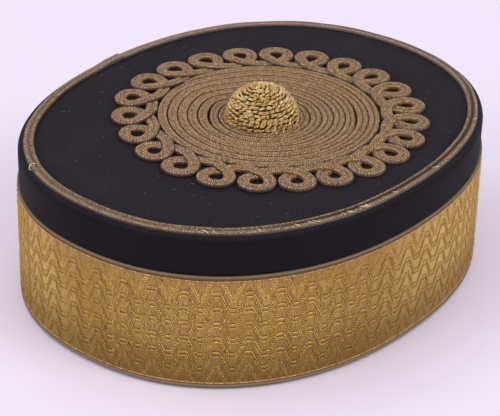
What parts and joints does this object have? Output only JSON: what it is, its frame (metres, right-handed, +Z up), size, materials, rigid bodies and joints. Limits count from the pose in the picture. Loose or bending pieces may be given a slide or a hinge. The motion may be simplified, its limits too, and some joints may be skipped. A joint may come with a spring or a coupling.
{
  "type": "oval pillbox cap",
  "caption": "Oval pillbox cap with a stiff black cloth crown, a gold lace band, coiled braid with scrolled loops and a domed wire button.",
  "frame": {"origin": "middle of the rim's oval, on the surface that the cap stands on", "axes": "+X along the long axis of the oval, +Y across it, +Z up through the flat top"},
  "size_m": [0.201, 0.1654, 0.0799],
  "materials": {
    "cloth": "black milled wool cloth",
    "lace": "woven gold wire lace, tarnished",
    "braid": "two-ribbed gold braid, tarnished brown",
    "wire": "netted twisted gold wire"
  },
  "bodies": {
    "root": {"crown_side": "cloth", "crown_tip": "cloth", "lace_band": "lace", "edge_braid": "braid", "coil_braid": "braid", "scroll_braid": "braid", "button": "wire"}
  },
  "joints": []
}
